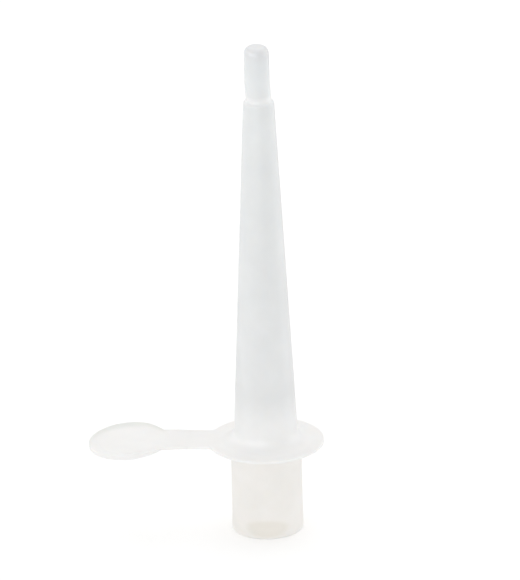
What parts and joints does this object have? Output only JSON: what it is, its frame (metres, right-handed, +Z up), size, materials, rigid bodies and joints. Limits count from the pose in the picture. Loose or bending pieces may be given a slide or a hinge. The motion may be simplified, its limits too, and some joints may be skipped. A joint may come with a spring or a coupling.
{
  "type": "saliva ejector tip",
  "caption": "Tapered hollow plastic tip with a closed stepped end, round flange, open push-on socket and a flexible strap with a round pull tab.",
  "frame": {"origin": "centre of the socket's open mouth, on the axis of the tip", "axes": "+Z up the barrel towards the closed tip; the strap and its tab leave the flange towards -X"},
  "size_m": [0.0421, 0.0206, 0.0924],
  "materials": {
    "natural_polyethylene": "satin"
  },
  "bodies": {
    "nozzle": {"socket_lip": "natural_polyethylene", "socket_sleeve": "natural_polyethylene", "flange_disc": "natural_polyethylene", "barrel_root": "natural_polyethylene", "barrel": "natural_polyethylene", "shoulder_ring": "natural_polyethylene", "tip_tube": "natural_polyethylene", "tip_cap": "natural_polyethylene", "flange_web": "natural_polyethylene"},
    "strap_arm": {"strap": "natural_polyethylene", "tab_web": "natural_polyethylene"},
    "pull_tab": {"tab_disc": "natural_polyethylene", "tab_rim": "natural_polyethylene"}
  },
  "joints": [
    {"name": "strap_bend", "type": "hinge", "parent": "nozzle", "child": "strap_arm", "pos_m": [-0.01085, 0, 0.01656], "axis": [0, 1, 0], "range_deg": [-75, 75], "stiffness_Nm_per_rad": 0.001, "deforming": ["flange_web"]},
    {"name": "tab_bend", "type": "hinge", "parent": "strap_arm", "child": "pull_tab", "pos_m": [-0.0169, 0, 0.01656], "axis": [0, 1, 0], "range_deg": [-30, 40], "stiffness_Nm_per_rad": 0.001, "deforming": ["tab_web"]}
  ]
}
